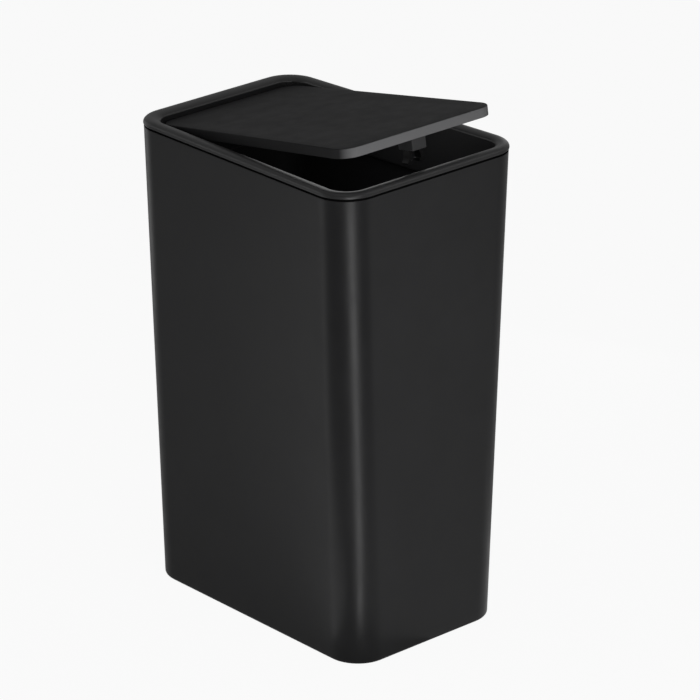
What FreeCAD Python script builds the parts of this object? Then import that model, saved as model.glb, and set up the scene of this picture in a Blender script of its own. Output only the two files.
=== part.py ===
"""Bathroom bin with a press-top lid: a tapered bucket, a rim frame, a sprung lid and a push latch.

The origin is the middle of the footprint. +Z is up, the latch end faces -Y and the hinge is near +Y.
The lid and what it carries are drawn shut and then turned up about the hinge to stand ajar.
"""
import FreeCAD
import Part
import Sketcher
import math
import os
import re

SIZES = {
    # Bucket, measured on the outside at its top edge
    "bin_height": 320.0,
    "front_width": 156.4,
    "rear_width": 138.4,
    "body_depth": 206.0,
    "side_draft": 12.5,
    "end_draft": 1.0,
    "body_corner": 22.0,
    "body_wall": 2.2,
    "floor_thickness": 2.4,
    "floor_round": 5.0,
    "foot_round": 2.5,
    "foot_width": 9.0,
    "foot_recess": 1.6,
    "seam_bevel": 0.8,
    # Rim frame
    "rim_height": 4.0,
    "side_land": 9.4,
    "front_land": 8.0,
    "rear_land": 11.2,
    "opening_corner": 13.0,
    "rim_outer_round": 1.4,
    "rim_inner_round": 2.0,
    "seam_gap": 0.6,
    "seam_depth": 1.2,
    "lip_overhang": 0.4,
    "lip_height": 1.2,
    "lip_step": 0.5,
    "collar_depth": 34.0,
    "collar_wall": 2.0,
    "locator_depth": 6.0,
    "locator_wall": 1.6,
    "locator_clearance": 0.6,
    # Hinge
    "hinge_setback": 36.0,
    "hinge_drop": 11.0,
    "pin_diameter": 3.0,
    "pin_fit": 0.05,
    "seat_fit": 0.02,
    "pin_tail": 1.4,
    "pin_bevel": 0.4,
    "ring_radius": 3.2,
    "ring_thickness": 0.7,
    "ring_clearance": 0.3,
    "ear_radius": 3.2,
    "ear_length": 6.0,
    "web_drop": 12.0,
    "web_thickness": 4.0,
    "lug_radius": 3.3,
    "lug_width": 5.0,
    "spring_bay": 8.0,
    # Lid springs
    "spring_wire": 1.0,
    "spring_radius": 2.5,
    "spring_pitch": 1.5,
    "spring_turns": 3.0,
    "spring_lid_leg": 18.0,
    "spring_rim_leg": 11.0,
    "post_thickness": 1.5,
    "post_height": 4.0,
    "post_clearance": 0.1,
    # Lid
    "lid_angle": 9.4,
    "lid_recess": 1.0,
    "lid_edge": 6.4,
    "lid_plate": 2.0,
    "lid_wall": 1.8,
    "lid_side_gap": 3.4,
    "lid_front_gap": 0.9,
    "lid_rear_gap": 2.8,
    "lid_corner": 12.0,
    "lid_round": 0.6,
    "liner_thickness": 1.6,
    "liner_clearance": 0.3,
    "boss_radius": 3.5,
    "boss_inset": 12.0,
    # Screws
    "screw_radius": 1.1,
    "screw_head_radius": 2.3,
    "screw_head_height": 1.4,
    "screw_hole_radius": 1.3,
    "screw_tip_room": 0.3,
    # Latch housing
    "latch_setback": 3.4,
    "latch_width": 12.0,
    "latch_depth": 13.0,
    "latch_drop": 8.2,
    "latch_wall": 1.2,
    "latch_fit": 0.2,
    "flange_width": 26.0,
    "flange_thickness": 1.6,
    "flange_screw_x": 9.6,
    # Latch carriage and its spring
    "slider_top": 2.6,
    "slider_bottom": 8.0,
    "slider_clearance": 0.2,
    "slot_top": 4.6,
    "slot_clearance": 0.2,
    "coil_radius": 2.3,
    "coil_wire": 0.4,
    "coil_turns": 3.0,
    "coil_seat_depth": 0.6,
    "coil_seat_clearance": 0.5,
    "coil_end_gap": 0.1,
    # Cam track and its follower
    "follower_gap": 1.0,
    "follower_wire": 0.7,
    "follower_bend": 0.6,
    "follower_x": 1.5,
    "follower_pivot": 0.2,
    "follower_tip": 3.7,
    "track_depth": 0.8,
    "track_top": 3.1,
    "track_bottom": 7.6,
    "track_half_width": 2.1,
    "island_half_width": 0.8,
    "island_top": 4.4,
    "island_notch": 0.5,
    "island_shoulder": 5.4,
    "island_bottom": 6.5,
    # Jaws, measured from their pivots
    "pivot_x": 2.2,
    "pivot_drop": 6.5,
    "jaw_thickness": 5.4,
    "jaw_barrel": 1.5,
    "jaw_pin_radius": 0.7,
    "jaw_pin_inset": 0.3,
    "jaw_length": 10.4,
    "jaw_throat_x": 4.0,
    "jaw_throat_top": 5.0,
    "jaw_hook_x": 2.75,
    "jaw_hook_top": 8.4,
    "jaw_lead_in": 0.9,
    "jaw_shoulder_x": 4.4,
    "jaw_shoulder_drop": 1.7,
    "jaw_elbow_x": 6.0,
    "jaw_elbow_drop": 6.0,
    "jaw_waist_drop": 7.2,
    "jaw_foot_x": 7.5,
    # Striker on the rim
    "striker_width": 19.0,
    "striker_height": 12.0,
    "striker_plate": 2.0,
    "striker_screw_x": 6.0,
    "striker_arm_width": 4.4,
    "striker_arm_height": 2.4,
    "striker_neck_width": 2.0,
    "striker_neck_height": 3.2,
    "striker_head_width": 4.6,
    "striker_head_height": 2.2,
    "striker_head_edge": 0.8,
    "striker_head_crest": 1.2,
    "striker_head_length": 6.0,
    "striker_clearance": 0.4,
    "striker_pad": 2.2,
    "striker_pad_margin": 2.0,
}

# Heights, places and insets that several pieces share
BODY_TOP = "(bin_height - rim_height)"
CAVITY_FLOOR = "(foot_recess + floor_thickness)"
HINGE_Y = "(body_depth / 2 - hinge_setback)"
HINGE_Z = "(bin_height - hinge_drop)"
LID_FOOT = "(bin_height - lid_recess - lid_edge)"
LID_SIDE = "(side_land + lid_side_gap)"
LID_FRONT = "(front_land + lid_front_gap)"
LID_REAR = "(rear_land + lid_rear_gap)"
LINER_TOP = f"({LID_FOOT} + liner_thickness)"
PLATE_UNDERSIDE = "(bin_height - lid_recess - lid_plate)"
LATCH_Y = f"({LID_FRONT} - body_depth / 2 + latch_setback + latch_depth / 2)"
FLANGE_TOP = f"({LINER_TOP} + flange_thickness)"
CAVITY_HALF_X = "(latch_width / 2 - latch_wall)"
CAVITY_HALF_Y = "(latch_depth / 2 - latch_wall)"
JAW_Y = f"({LATCH_Y} + (follower_gap - slider_clearance) / 2)"
SLIDER_FRONT = f"({LATCH_Y} - {CAVITY_HALF_Y} + follower_gap)"
SLIDER_REAR = f"({LATCH_Y} + {CAVITY_HALF_Y} - slider_clearance)"
PIVOT_Z = f"({LID_FOOT} - pivot_drop)"
COLLAR_FRONT_Y = "(front_land - body_depth / 2)"
HEAD_TOP = f"({LID_FOOT} - latch_drop - striker_clearance)"
HEAD_BOTTOM = f"({HEAD_TOP} - striker_head_height)"
ARM_TOP = f"({HEAD_BOTTOM} - striker_neck_height)"
STRIKER_Z = f"({ARM_TOP} - striker_arm_height / 2)"
SLANT = "((front_width - rear_width) / (2 * body_depth))"
SPREAD = f"sqrt(1 + {SLANT} ^ 2)"


def half_width(y, inset):
    """Half the plan's width at y, with the long sides set in from the bucket's top edge."""
    return f"(front_width / 2 - ({y} + body_depth / 2) * {SLANT} - ({inset}) * {SPREAD})"


COLLAR_X = half_width(HINGE_Y, "side_land")
COLLAR_OUTSIDE_X = half_width(HINGE_Y, "side_land - collar_wall")
EAR_X = f"({COLLAR_X} - ear_length)"
LUG_X = f"({EAR_X} - spring_bay)"

doc = FreeCAD.newDocument("bathroom_bin")
sheet = doc.addObject("Spreadsheet::Sheet", "sizes")
for row, (alias, size) in enumerate(SIZES.items(), start=1):
    sheet.set(f"A{row}", alias)
    sheet.set(f"B{row}", str(size))
    sheet.setAlias(f"B{row}", alias)
doc.recompute()
pieces = []


def bound(text):
    """Turn the size names in a formula into references to the sheet."""
    return re.sub(r"[a-z_]+", lambda word: f"sizes.{word[0]}" if word[0] in SIZES else word[0], str(text))


def value(text):
    return float(sheet.evalExpression(bound(text)))


def new_body(label):
    body = doc.addObject("PartDesign::Body", label)
    body.Label = label
    pieces.append(body)
    return body


def plane(body, role):
    return next(feature for feature in body.Origin.OriginFeatures if feature.Role == role)


def new_sketch(body, role, offset="0"):
    """A sketch on one of the body's own planes, moved along that plane's normal."""
    sketch = body.newObject("Sketcher::SketchObject", "sketch")
    sketch.AttachmentSupport = [(plane(body, role), "")]
    sketch.MapMode = "FlatFace"
    sketch.setExpression("AttachmentOffset.Base.z", bound(offset))
    return sketch


def flat(body, height):
    return new_sketch(body, "XY_Plane", height)


def across(body, y):
    return new_sketch(body, "XZ_Plane", f"-({y})")


def sideways(body, x):
    return new_sketch(body, "YZ_Plane", x)


def fix(sketch, formula, kind, *ends):
    """Add a dimension to a sketch and tie it to a formula."""
    index = sketch.addConstraint(Sketcher.Constraint(kind, *ends, value(formula)))
    sketch.renameConstraint(index, f"size_{index}")
    sketch.setExpression(f"Constraints.size_{index}", bound(formula))


def fix_point(sketch, geometry, end, x, y):
    fix(sketch, x, "DistanceX", -1, 1, geometry, end)
    fix(sketch, y, "DistanceY", -1, 1, geometry, end)


def corner_arc(start, end, radius):
    """The arc that turns left from start to end."""
    chord = end - start
    left = FreeCAD.Vector(-chord.y, chord.x, 0).normalize()
    centre = (start + end) / 2 + left * math.sqrt(radius ** 2 - chord.Length ** 2 / 4)
    angles = [math.atan2(point.y - centre.y, point.x - centre.x) for point in (start, end)]
    return Part.ArcOfCircle(Part.Circle(centre, FreeCAD.Vector(0, 0, 1), radius), *angles)


def loop(sketch, points, radii=None):
    """A closed loop through points, each side straight or an arc of the radius given for it."""
    radii = radii or [None] * len(points)
    places = [FreeCAD.Vector(value(x), value(y), 0) for x, y in points]
    first = sketch.GeometryCount
    count = len(points)
    for index, radius in enumerate(radii):
        start, end = places[index], places[(index + 1) % count]
        side = corner_arc(start, end, value(radius)) if radius else Part.LineSegment(start, end)
        sketch.addGeometry(side)
    for index in range(count):
        sketch.addConstraint(Sketcher.Constraint("Coincident", first + index, 2, first + (index + 1) % count, 1))
    for index, (x, y) in enumerate(points):
        fix_point(sketch, first + index, 1, x, y)
        if radii[index]:
            fix(sketch, radii[index], "Radius", first + index)
    return sketch


def circle(sketch, x, y, radius):
    centre = FreeCAD.Vector(value(x), value(y), 0)
    index = sketch.addGeometry(Part.Circle(centre, FreeCAD.Vector(0, 0, 1), value(radius)))
    fix_point(sketch, index, 3, x, y)
    fix(sketch, radius, "Radius", index)
    return sketch


def rectangle(sketch, x0, x1, y0, y1):
    return loop(sketch, [(x0, y0), (x1, y0), (x1, y1), (x0, y1)])


def outline(sketch, side, front, rear, radius):
    """The rounded plan of the bin, its sides and ends set in from the bucket's top edge."""
    y_front = f"(({front}) - body_depth / 2)"
    y_rear = f"(body_depth / 2 - ({rear}))"
    x_front = half_width(y_front, side)
    x_rear = half_width(y_rear, side)
    sharp = f"(({radius}) * ({SPREAD} + {SLANT}))"
    blunt = f"(({radius}) * ({SPREAD} - {SLANT}))"
    right = [
        (f"{x_front} - {sharp}", y_front),
        (f"{x_front} - {sharp} * {SLANT} / {SPREAD}", f"{y_front} + {sharp} / {SPREAD}"),
        (f"{x_rear} + {blunt} * {SLANT} / {SPREAD}", f"{y_rear} - {blunt} / {SPREAD}"),
        (f"{x_rear} - {blunt}", y_rear),
    ]
    left = [(f"-({x})", y) for x, y in reversed(right)]
    return loop(sketch, right + left, [radius, None] * 4)


def inset_outline(sketch, inset):
    """The plan set in by the same distance all round, with corners that share their centres."""
    return outline(sketch, inset, inset, inset, f"body_corner - ({inset})")


def opening_outline(sketch, growth="0"):
    """The opening in the rim, or the collar round it."""
    lands = [f"{land} - {growth}" for land in ("side_land", "front_land", "rear_land")]
    return outline(sketch, *lands, f"opening_corner + {growth}")


def lid_outline(sketch, inset="0"):
    ends = [f"{edge} + {inset}" for edge in (LID_SIDE, LID_FRONT, LID_REAR)]
    return outline(sketch, *ends, f"lid_corner - ({inset})")


def pad(body, sketch, length, back=False):
    feature = body.newObject("PartDesign::Pad", "pad")
    feature.Profile = sketch
    feature.Reversed = back
    feature.setExpression("Length", bound(length))
    return feature


def pocket(body, sketch, length, back=False):
    feature = body.newObject("PartDesign::Pocket", "pocket")
    feature.Profile = sketch
    feature.Reversed = back
    feature.setExpression("Length", bound(length))
    return feature


def loft(body, kind, lowest, *sections):
    feature = body.newObject(f"PartDesign::{kind}", "loft")
    feature.Profile = lowest
    feature.Sections = list(sections)
    feature.Ruled = True
    return feature


def mirror(body, features):
    """Repeat features on the other side of the middle plane."""
    feature = body.newObject("PartDesign::Mirrored", "mirrored")
    feature.Originals = features
    feature.MirrorPlane = (plane(body, "YZ_Plane"), [""])
    body.Tip = feature
    return feature


def dress(body, kind, size_property, size, wanted):
    """Round or bevel the edges of the body that the test picks."""
    doc.recompute()
    base = body.Tip
    names = [f"Edge{number}" for number, edge in enumerate(base.Shape.Edges, start=1) if wanted(edge)]
    feature = body.newObject(f"PartDesign::{kind}", kind.lower())
    feature.Base = (base, names)
    feature.setExpression(size_property, bound(size))
    return feature


def level_at(height):
    """A test for edges that lie flat at a height."""
    wanted_height = value(height)

    def test(edge):
        box = edge.BoundBox
        return abs(box.ZMin - wanted_height) < 1e-4 and abs(box.ZMax - wanted_height) < 1e-4

    return test


def inside_of(test, inset):
    """Of the edges that pass a test, those whose ends lie inside the plan at an inset."""
    deepest = value(f"body_depth / 2 - ({inset})")
    width, slant = value(half_width("0", inset)), value(SLANT)

    def narrowed(edge):
        ends = [vertex.Point for vertex in edge.Vertexes]
        return test(edge) and all(abs(p.x) < width - p.y * slant and abs(p.y) < deepest for p in ends)

    return narrowed


def carry_on_lid(piece):
    """Turn a piece that is drawn with the lid shut up about the hinge."""
    turn = "rotation(vector(-1; 0; 0); lid_angle)"
    piece.setExpression("Placement", bound(f"placement(vector(0; 0; 0); {turn}; vector(0; {HINGE_Y}; {HINGE_Z}))"))
    return piece


def cylinder(radius, height, x, y, z, axis=FreeCAD.Vector(0, 0, 1)):
    piece = doc.addObject("Part::Cylinder", "cylinder")
    piece.Placement.Rotation = FreeCAD.Rotation(FreeCAD.Vector(0, 0, 1), axis)
    for name, formula in {"Radius": radius, "Height": height}.items():
        piece.setExpression(name, bound(formula))
    for name, formula in {"x": x, "y": y, "z": z}.items():
        piece.setExpression(f"Placement.Base.{name}", bound(formula))
    return piece


def group(label, members):
    """Identical loose pieces under one name."""
    compound = doc.addObject("Part::Compound", label)
    compound.Label = label
    compound.Links = members
    pieces.append(compound)
    return compound


def screw(length, x, y, z, axis):
    """A pan-head screw whose head bears on the face at x, y, z, and whose shank points along axis."""
    shank = cylinder("screw_radius", length, x, y, z, axis)
    head = cylinder("screw_head_radius", "screw_head_height", x, y, z, -axis)
    both = doc.addObject("Part::Fuse", "screw")
    both.Base = shank
    both.Tool = head
    return both


def drafted(inset, height):
    """An inset that grows towards the foot as the drafted walls do."""
    share = f"(1 - ({height}) / {BODY_TOP})"
    return [f"{inset} + side_draft * {share}", f"{inset} + end_draft * {share}", f"{inset} + end_draft * {share}"]


def bowl_sections(body, foot, round_size, inset, top):
    """Outlines from foot to top that follow the drafted walls, with a rounded foot."""
    sections = []
    for step in range(4):
        angle = math.radians(30 * step)
        height = f"({foot} + {round_size} * {1 - math.cos(angle):.6f})"
        drawn_in = f"({inset} + {round_size} * {1 - math.sin(angle):.6f})"
        sections.append(outline(flat(body, height), *drafted(drawn_in, height), f"body_corner - {drawn_in}"))
    sections.append(outline(flat(body, top), *drafted(inset, top), f"body_corner - {inset}"))
    return sections


def make_bin_body():
    body = new_body("bin_body")
    shoulder = f"({BODY_TOP} - seam_bevel)"
    loft(body, "AdditiveLoft", *bowl_sections(body, "0", "foot_round", "0", shoulder))
    widest = outline(flat(body, shoulder), *drafted("0", shoulder), "body_corner")
    bevelled = inset_outline(flat(body, BODY_TOP), "seam_bevel")
    loft(body, "AdditiveLoft", widest, bevelled)
    loft(body, "SubtractiveLoft", *bowl_sections(body, CAVITY_FLOOR, "floor_round", "body_wall", BODY_TOP))
    recess = outline(flat(body, "0"), *drafted("foot_width", "0"), "body_corner - foot_width")
    pocket(body, recess, "foot_recess", back=True)


def make_rim_frame():
    body = new_body("rim_frame")
    upper_inset = "(lip_step - lip_overhang)"
    lip_foot = f"({BODY_TOP} + seam_gap)"
    lip_top = f"({lip_foot} + lip_height - lip_step)"
    flange_foot = f"({lip_foot} + lip_height)"
    pad(body, inset_outline(flat(body, BODY_TOP), "seam_depth"), "seam_gap")
    pad(body, inset_outline(flat(body, lip_foot), "-lip_overhang"), "lip_height - lip_step")
    widest = inset_outline(flat(body, lip_top), "-lip_overhang")
    loft(body, "AdditiveLoft", widest, inset_outline(flat(body, flange_foot), upper_inset))
    pad(body, inset_outline(flat(body, flange_foot), upper_inset), f"bin_height - {flange_foot}")
    dress(body, "Fillet", "Radius", "rim_outer_round", level_at("bin_height"))
    pad(body, opening_outline(flat(body, BODY_TOP), "collar_wall"), "collar_depth", back=True)
    pocket(body, opening_outline(flat(body, "bin_height")), "rim_height + collar_depth")
    dress(body, "Fillet", "Radius", "rim_inner_round", inside_of(level_at("bin_height"), "seam_depth + rim_outer_round"))

    locator_outside = "(body_wall + locator_clearance)"
    locator = inset_outline(flat(body, BODY_TOP), locator_outside)
    inset_outline(locator, f"({locator_outside} + locator_wall)")
    pad(body, locator, "locator_depth", back=True)

    ear = circle(sideways(body, EAR_X), HINGE_Y, HINGE_Z, "ear_radius")
    reach = "ear_length + collar_wall / 2"
    ear_pad = pad(body, ear, reach)
    web_front = f"({HINGE_Y} - ear_radius)"
    web = rectangle(sideways(body, EAR_X), web_front, f"{web_front} + web_thickness", f"{HINGE_Z} - web_drop", HINGE_Z)
    web_pad = pad(body, web, reach)
    post_front = f"({HINGE_Y} + spring_radius + spring_wire / 2 + post_clearance)"
    post_foot = f"({HINGE_Z} - spring_rim_leg)"
    post_x = f"({LUG_X} + spring_wire)"
    post = rectangle(sideways(body, post_x), post_front, f"{post_front} + post_thickness", post_foot,
                     f"{post_foot} + post_height")
    post_pad = pad(body, post, f"{COLLAR_X} + collar_wall / 2 - {post_x}")
    mirror(body, [ear_pad, web_pad, post_pad])
    bore = circle(sideways(body, "front_width / 2"), HINGE_Y, HINGE_Z, "pin_diameter / 2 + seat_fit")
    pocket(body, bore, "front_width")

    collar_face = f"({COLLAR_FRONT_Y} - collar_wall)"
    seat = rectangle(across(body, collar_face), "-striker_width / 2", "striker_width / 2",
                     f"{STRIKER_Z} - striker_height / 2 - striker_pad_margin",
                     f"{STRIKER_Z} + striker_height / 2 + striker_pad_margin")
    pad(body, seat, "striker_pad")
    holes = across(body, COLLAR_FRONT_Y)
    for side in ("-", ""):
        circle(holes, f"{side}striker_screw_x", STRIKER_Z, "screw_radius + seat_fit")
    pocket(body, holes, "collar_wall + striker_pad", back=True)


def make_striker():
    body = new_body("striker")
    plate_face = f"({COLLAR_FRONT_Y} + striker_plate)"
    plate = rectangle(across(body, COLLAR_FRONT_Y), "-striker_width / 2", "striker_width / 2",
                      f"{STRIKER_Z} - striker_height / 2", f"{STRIKER_Z} + striker_height / 2")
    for side in ("-", ""):
        circle(plate, f"{side}striker_screw_x", STRIKER_Z, "screw_hole_radius")
    pad(body, plate, "striker_plate", back=True)
    tip = f"({JAW_Y} + striker_head_length / 2)"
    arm = rectangle(across(body, plate_face), "-striker_arm_width / 2", "striker_arm_width / 2",
                    f"{ARM_TOP} - striker_arm_height", ARM_TOP)
    pad(body, arm, f"{tip} - {plate_face}", back=True)
    right = [
        ("striker_neck_width / 2", f"{ARM_TOP} - striker_arm_height / 2"),
        ("striker_neck_width / 2", HEAD_BOTTOM),
        ("striker_head_width / 2", HEAD_BOTTOM),
        ("striker_head_width / 2", f"{HEAD_BOTTOM} + striker_head_edge"),
        ("striker_head_crest", HEAD_TOP),
    ]
    left = [(f"-{x}", z) for x, z in reversed(right)]
    pad(body, loop(across(body, tip), right + left), "striker_head_length")
    length = "striker_plate + collar_wall + striker_pad - screw_tip_room"
    into_rim = FreeCAD.Vector(0, -1, 0)
    group("striker_screws", [screw(length, f"{side}striker_screw_x", plate_face, STRIKER_Z, into_rim) for side in ("-", "")])


def make_hinge():
    pin_end = f"({COLLAR_OUTSIDE_X} + pin_tail)"
    body = new_body("hinge_pin")
    pad(body, circle(sideways(body, f"-{pin_end}"), HINGE_Y, HINGE_Z, "pin_diameter / 2"), f"2 * {pin_end}")
    dress(body, "Chamfer", "Size", "pin_bevel", lambda edge: edge.Closed)
    rings = []
    for side in (1, -1):
        outward = FreeCAD.Vector(side, 0, 0)
        start = f"{side} * ({COLLAR_OUTSIDE_X} + ring_clearance)"
        disc = cylinder("ring_radius", "ring_thickness", start, HINGE_Y, HINGE_Z, outward)
        hole = cylinder("pin_diameter / 2 + seat_fit", "ring_thickness", start, HINGE_Y, HINGE_Z, outward)
        ring = doc.addObject("Part::Cut", "ring")
        ring.Base = disc
        ring.Tool = hole
        rings.append(ring)
    group("pin_rings", rings)


def lid_boss_places():
    """Where the four screws of the liner go, as formulas for x and y."""
    front = f"({LID_FRONT} + boss_inset - body_depth / 2)"
    rear = f"(body_depth / 2 - {LID_REAR} - boss_inset)"
    inset = f"{LID_SIDE} + boss_inset"
    return [(f"{side}{half_width(y, inset)}", y) for y in (front, rear) for side in ("-", "")]


def latch_screw_places():
    return [(f"{side}flange_screw_x", LATCH_Y) for side in ("-", "")]


def make_lid():
    panel = carry_on_lid(new_body("lid_panel"))
    pad(panel, lid_outline(flat(panel, LID_FOOT)), "lid_edge")
    dress(panel, "Fillet", "Radius", "lid_round", level_at("bin_height - lid_recess"))
    pocket(panel, lid_outline(flat(panel, LID_FOOT), "lid_wall"), "lid_edge - lid_plate", back=True)
    for places, foot in ((lid_boss_places(), LINER_TOP), (latch_screw_places(), FLANGE_TOP)):
        bosses = flat(panel, foot)
        holes = flat(panel, foot)
        for x, y in places:
            circle(bosses, x, y, "boss_radius")
            circle(holes, x, y, "screw_radius + seat_fit")
        pad(panel, bosses, f"{PLATE_UNDERSIDE} - {foot}")
        pocket(panel, holes, f"{PLATE_UNDERSIDE} - {foot} + lid_plate / 2", back=True)

    liner = carry_on_lid(new_body("lid_liner"))
    plate = lid_outline(flat(liner, LID_FOOT), "(lid_wall + liner_clearance)")
    for x, y in lid_boss_places() + latch_screw_places():
        circle(plate, x, y, "screw_hole_radius")
    rectangle(plate, "-(latch_width / 2 + latch_fit)", "latch_width / 2 + latch_fit",
              f"{LATCH_Y} - latch_depth / 2 - latch_fit", f"{LATCH_Y} + latch_depth / 2 + latch_fit")
    pad(liner, plate, "liner_thickness")
    lug = sideways(liner, LUG_X)
    hanger = sideways(liner, LUG_X)
    circle(lug, HINGE_Y, HINGE_Z, "lug_radius")
    rectangle(hanger, f"{HINGE_Y} - lug_radius", f"{HINGE_Y} + lug_radius", HINGE_Z, LINER_TOP)
    mirror(liner, [pad(liner, sketch, "lug_width", back=True) for sketch in (lug, hanger)])
    bore = circle(sideways(liner, "front_width / 2"), HINGE_Y, HINGE_Z, "pin_diameter / 2 + pin_fit")
    pocket(liner, bore, "front_width")

    up = FreeCAD.Vector(0, 0, 1)
    length = f"{PLATE_UNDERSIDE} + lid_plate / 2 - screw_tip_room - {LID_FOOT}"
    for label, places in (("lid_screws", lid_boss_places()), ("latch_screws", latch_screw_places())):
        carry_on_lid(group(label, [screw(length, x, y, LID_FOOT, up) for x, y in places]))


def make_latch():
    housing = carry_on_lid(new_body("latch_housing"))
    mouth = f"({LID_FOOT} - latch_drop)"
    front, rear = f"({LATCH_Y} - latch_depth / 2)", f"({LATCH_Y} + latch_depth / 2)"
    block = rectangle(flat(housing, mouth), "-latch_width / 2", "latch_width / 2", front, rear)
    pad(housing, block, f"{FLANGE_TOP} - {mouth}")
    flange = rectangle(flat(housing, LINER_TOP), "-flange_width / 2", "flange_width / 2", front, rear)
    pad(housing, flange, "flange_thickness")
    cavity = rectangle(flat(housing, mouth), f"-{CAVITY_HALF_X}", CAVITY_HALF_X, f"{LATCH_Y} - {CAVITY_HALF_Y}",
                       f"{LATCH_Y} + {CAVITY_HALF_Y}")
    pocket(housing, cavity, f"{FLANGE_TOP} - latch_wall - {mouth}", back=True)
    holes = flat(housing, LINER_TOP)
    for x, y in latch_screw_places():
        circle(holes, x, y, "screw_hole_radius")
    pocket(housing, holes, "flange_thickness", back=True)
    socket = circle(across(housing, front), "-follower_x", f"{LID_FOOT} - follower_pivot", "follower_wire / 2 + pin_fit")
    pocket(housing, socket, "latch_wall")

    slider = carry_on_lid(new_body("latch_slider"))
    half = f"({CAVITY_HALF_X} - slider_clearance)"
    block = rectangle(flat(slider, f"{LID_FOOT} - slider_bottom"), f"-{half}", half, SLIDER_FRONT, SLIDER_REAR)
    pad(slider, block, "slider_bottom - slider_top")
    slot_half = "(jaw_thickness / 2 + slot_clearance)"
    slot = rectangle(flat(slider, f"{LID_FOOT} - slot_top"), f"-{half}", half, f"{JAW_Y} - {slot_half}", f"{JAW_Y} + {slot_half}")
    pocket(slider, slot, "slider_bottom - slot_top")
    seat = circle(flat(slider, f"{LID_FOOT} - slider_top"), "0", JAW_Y, "coil_radius + coil_wire / 2 + coil_seat_clearance")
    pocket(slider, seat, "coil_seat_depth")
    bores = across(slider, SLIDER_FRONT)
    for side in ("-", ""):
        circle(bores, f"{side}pivot_x", PIVOT_Z, "jaw_pin_radius + seat_fit")
    pocket(slider, bores, f"{SLIDER_REAR} - {SLIDER_FRONT}")
    track = across(slider, SLIDER_FRONT)
    rectangle(track, "-track_half_width", "track_half_width", f"{LID_FOOT} - track_bottom", f"{LID_FOOT} - track_top")
    heart = [("-island_half_width", "island_top"), ("0", "island_top + island_notch"), ("island_half_width", "island_top"),
             ("island_half_width", "island_shoulder"), ("0", "island_bottom"), ("-island_half_width", "island_shoulder")]
    loop(track, [(x, f"{LID_FOOT} - ({drop})") for x, drop in heart])
    pocket(slider, track, "track_depth")

    pin_front = f"({SLIDER_FRONT} + track_depth + jaw_pin_inset)"
    pin_length = f"{SLIDER_REAR} - jaw_pin_inset - {pin_front}"
    backward = FreeCAD.Vector(0, 1, 0)
    pins = [cylinder("jaw_pin_radius", pin_length, f"{side}pivot_x", pin_front, PIVOT_Z, backward) for side in ("-", "")]
    carry_on_lid(group("jaw_pins", pins))
    for label, side in (("jaw_left", -1), ("jaw_right", 1)):
        make_jaw(label, side)


def make_jaw(label, side):
    """A flared claw that hangs from its pin, hooked towards the middle."""
    jaw = carry_on_lid(new_body(label))
    face = f"({JAW_Y} + jaw_thickness / 2)"
    profile = [
        ("pivot_x - jaw_barrel * 0.6", "jaw_barrel * 0.8"),
        ("jaw_throat_x", "jaw_throat_top"),
        ("jaw_throat_x", "jaw_hook_top - jaw_lead_in / 3"),
        ("jaw_hook_x", "jaw_hook_top"),
        ("jaw_hook_x", "jaw_length - jaw_lead_in"),
        ("jaw_hook_x + jaw_lead_in", "jaw_length"),
        ("jaw_foot_x - jaw_lead_in", "jaw_length"),
        ("jaw_foot_x", "jaw_length - jaw_lead_in"),
        ("jaw_elbow_x", "jaw_waist_drop"),
        ("jaw_elbow_x", "jaw_elbow_drop"),
        ("jaw_shoulder_x", "jaw_shoulder_drop"),
        ("pivot_x + jaw_barrel * 0.8", "-jaw_barrel * 0.6"),
    ]
    arm = loop(across(jaw, face), [(f"{side} * ({x})", f"{PIVOT_Z} - ({drop})") for x, drop in profile])
    barrel = circle(across(jaw, face), f"{side} * pivot_x", PIVOT_Z, "jaw_barrel")
    pad(jaw, barrel, "jaw_thickness")
    pad(jaw, arm, "jaw_thickness")
    bore = circle(across(jaw, face), f"{side} * pivot_x", PIVOT_Z, "jaw_pin_radius + pin_fit")
    pocket(jaw, bore, "jaw_thickness", back=True)


def biarc(start, start_way, end, end_way):
    """Two arcs that leave start and reach end along the given unit directions."""
    span = end - start
    ways = start_way + end_way
    bend = 2 * (1 - start_way.dot(end_way))
    reach = (math.sqrt(span.dot(ways) ** 2 + bend * span.dot(span)) - span.dot(ways)) / bend
    first_knee = start + start_way * reach
    last_knee = end - end_way * reach
    middle = (first_knee + last_knee) / 2
    arcs = []
    for begin, knee, finish in ((start, first_knee, middle), (middle, last_knee, end)):
        weight = (finish - begin).Length / (2 * reach)
        crest = (begin + finish + knee * (2 * weight)) / (2 + 2 * weight)
        arcs.append(Part.Arc(begin, crest, finish).toShape())
    return arcs


def helix_edges(point, way, first, last):
    """Biarcs of about a quarter turn along a helix given by its point and direction at an angle."""
    steps = max(1, round((last - first) / (math.pi / 2)))
    angles = [first + (last - first) * step / steps for step in range(steps + 1)]
    edges = []
    for here, there in zip(angles, angles[1:]):
        edges += biarc(point(here), way(here), point(there), way(there))
    return edges


def tube(edges, radius):
    """A round wire along joined edges."""
    path = Part.Wire(edges)
    start = path.Edges[0].valueAt(path.Edges[0].FirstParameter)
    way = path.Edges[0].tangentAt(path.Edges[0].FirstParameter)
    shell = Part.BRepOffsetAPI.MakePipeShell(path)
    shell.add(Part.Wire(Part.Circle(start, way, radius).toShape()))
    shell.build()
    shell.makeSolid()
    return shell.shape()


def line(start, end):
    return Part.LineSegment(start, end).toShape()


def add_wire_piece(label, edges, radius):
    piece = doc.addObject("Part::Feature", label)
    piece.Label = label
    piece.Shape = tube(edges, radius)
    pieces.append(piece)
    return piece


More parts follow.
